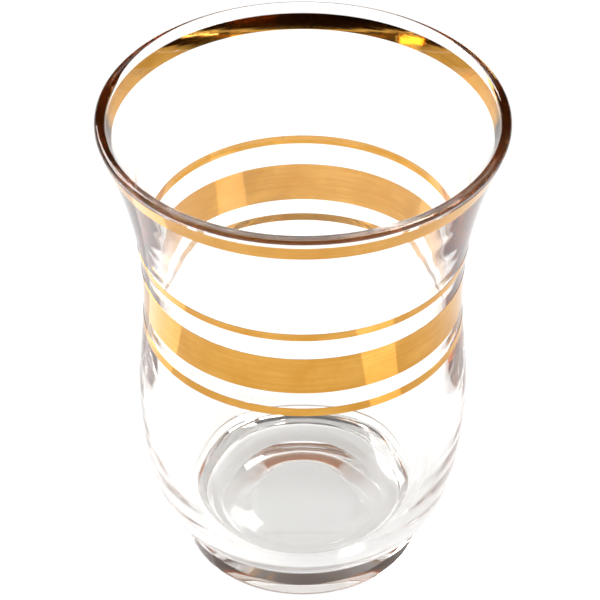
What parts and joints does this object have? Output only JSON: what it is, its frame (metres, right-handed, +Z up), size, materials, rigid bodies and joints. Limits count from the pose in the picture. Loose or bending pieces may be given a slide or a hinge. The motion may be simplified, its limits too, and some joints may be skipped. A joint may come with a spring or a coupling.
{
  "type": "tea glass",
  "caption": "Footed clear tea glass with a flared mouth, drawn-in waist and full belly, decorated with a gold band under the lip, a broad gold band and two gold lines; holds hot tea.",
  "frame": {"origin": "centre of the foot, on the plane it stands on", "axes": "+Z up along the axis of turning, towards the mouth; +X and +Y are alike"},
  "size_m": [0.0676, 0.0676, 0.0882],
  "materials": {
    "clear_glass": "clear, fire-polished",
    "bright_gold": "fired-on bright gold"
  },
  "bodies": {
    "root": {"glass_body": "clear_glass", "rim_gold": "bright_gold", "upper_line": "bright_gold", "broad_band": "bright_gold", "lower_line": "bright_gold"}
  },
  "joints": []
}
